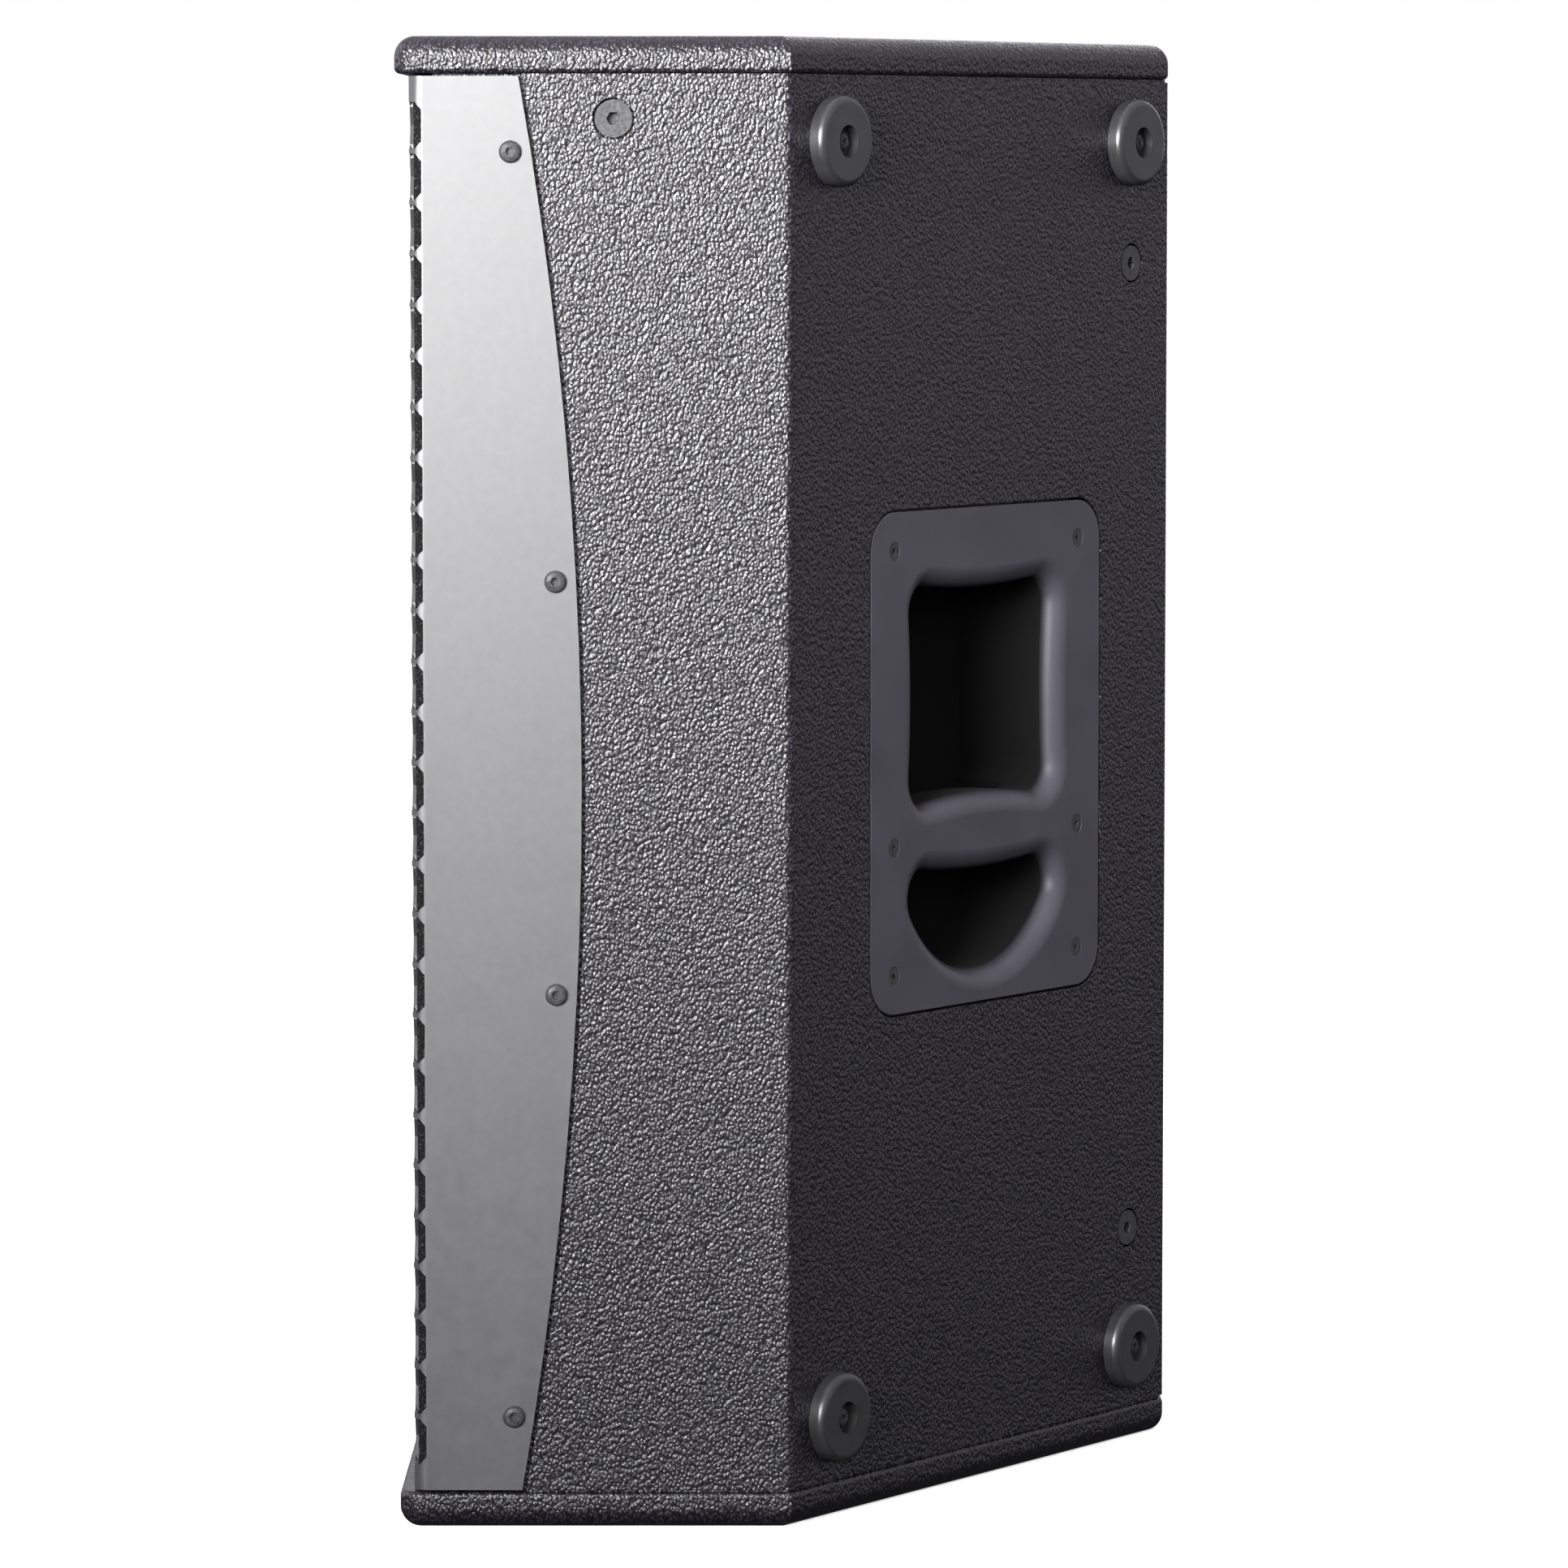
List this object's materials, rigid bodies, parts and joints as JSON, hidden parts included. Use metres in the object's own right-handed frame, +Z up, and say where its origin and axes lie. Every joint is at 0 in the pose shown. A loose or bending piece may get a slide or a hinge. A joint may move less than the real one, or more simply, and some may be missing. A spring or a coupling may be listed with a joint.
{
  "type": "two-way loudspeaker cabinet",
  "caption": "Black two-way loudspeaker cabinet with a hex-mesh front, one slanted side with rubber feet and a recessed bar handle, for pole, bracket or stage-wedge use.",
  "frame": {"origin": "under the middle of the bottom panel's outline, on the floor", "axes": "+Z up, -Y out of the grille, +X towards the slanted side"},
  "size_m": [0.3952, 0.341, 0.64],
  "materials": {
    "textured_paint_plywood": "birch plywood under structured black paint, fine pebble texture, semi-matt",
    "plain_plywood": "plywood, black stain",
    "grille_steel": "smooth black powder coat",
    "foam": "open-cell acoustic foam, matt black",
    "black_screw_steel": "black zinc-plated steel, satin",
    "zinc_steel": "zinc-plated steel",
    "foot_rubber": "smooth dark rubber",
    "satin_plastic": "satin moulded plastic",
    "socket_plastic": "black moulded plastic",
    "seal_rubber": "black rubber",
    "cast_alloy": "cast alloy, black enamel",
    "cone_paper": "pressed paper pulp, black",
    "coil_copper": "enamelled copper wire",
    "treated_cloth": "resin-treated cloth",
    "ferrite": "sintered ferrite",
    "diaphragm_metal": "thin formed metal",
    "circuit_board": "glass-epoxy board, green solder mask",
    "capacitor_plastic": "moulded film capacitor",
    "resistor_ceramic": "white cement resistor",
    "plate_steel": "black powder coat",
    "lining_fleece": "grey polyester fleece"
  },
  "bodies": {
    "cabinet": {"back_panel": "textured_paint_plywood", "board_standoffs": "satin_plastic", "bottom_panel": "textured_paint_plywood", "bracket_inserts": "zinc_steel", "connector_plate": "plate_steel", "crossover_board": "circuit_board", "crossover_capacitors": "capacitor_plastic", "crossover_resistors": "resistor_ceramic", "driver_bolts": "black_screw_steel", "driver_clamp_ring": "satin_plastic", "driver_front_plate": "zinc_steel", "driver_magnet": "ferrite", "driver_phase_plug": "satin_plastic", "driver_pole": "zinc_steel", "driver_rear_cover": "satin_plastic", "driver_suspension": "seal_rubber", "driver_top_plate": "zinc_steel", "foot_screws": "black_screw_steel", "front_baffle": "plain_plywood", "front_grille": "grille_steel", "grille_foam": "foam", "grille_screws": "black_screw_steel", "handle_seal": "seal_rubber", "handle_shell": "satin_plastic", "hf_horn": "satin_plastic", "horn_inductor": "coil_copper", "internal_cables": "seal_rubber", "pole_cup": "satin_plastic", "port_tube_left": "satin_plastic", "port_tube_right": "satin_plastic", "rear_lining": "lining_fleece", "rigging_inserts": "zinc_steel", "rigging_screws": "black_screw_steel", "rubber_foot_1": "foot_rubber", "rubber_foot_2": "foot_rubber", "rubber_foot_3": "foot_rubber", "rubber_foot_4": "foot_rubber", "side_panel_left": "textured_paint_plywood", "side_panel_right": "textured_paint_plywood", "speaker_connector_lower": "socket_plastic", "speaker_connector_upper": "socket_plastic", "top_panel": "textured_paint_plywood", "wedge_panel": "textured_paint_plywood", "window_brace": "plain_plywood", "wood_screws": "black_screw_steel", "woofer_back_plate": "zinc_steel", "woofer_basket": "cast_alloy", "woofer_gasket": "seal_rubber", "woofer_inductor": "coil_copper", "woofer_magnet": "ferrite", "woofer_screws": "black_screw_steel", "woofer_spider": "treated_cloth", "woofer_surround": "seal_rubber", "woofer_terminals": "socket_plastic", "woofer_top_plate": "zinc_steel"},
    "woofer_moving_parts": {"woofer_cone": "cone_paper", "dust_cap": "cone_paper", "voice_coil_former": "cone_paper", "voice_coil_winding": "coil_copper"},
    "tweeter_moving_parts": {"driver_diaphragm": "diaphragm_metal"}
  },
  "joints": [
    {"name": "woofer_excursion", "type": "slide", "parent": "cabinet", "child": "woofer_moving_parts", "axis": [0, -1, 0], "range_m": [-0.006, 0.006], "stiffness_N_per_m": 3500, "deforming": ["woofer_surround", "woofer_spider"]},
    {"name": "tweeter_excursion", "type": "slide", "parent": "cabinet", "child": "tweeter_moving_parts", "axis": [0, -1, 0], "range_m": [-0.0004, 0.0004], "stiffness_N_per_m": 6000, "deforming": ["driver_suspension"]}
  ]
}
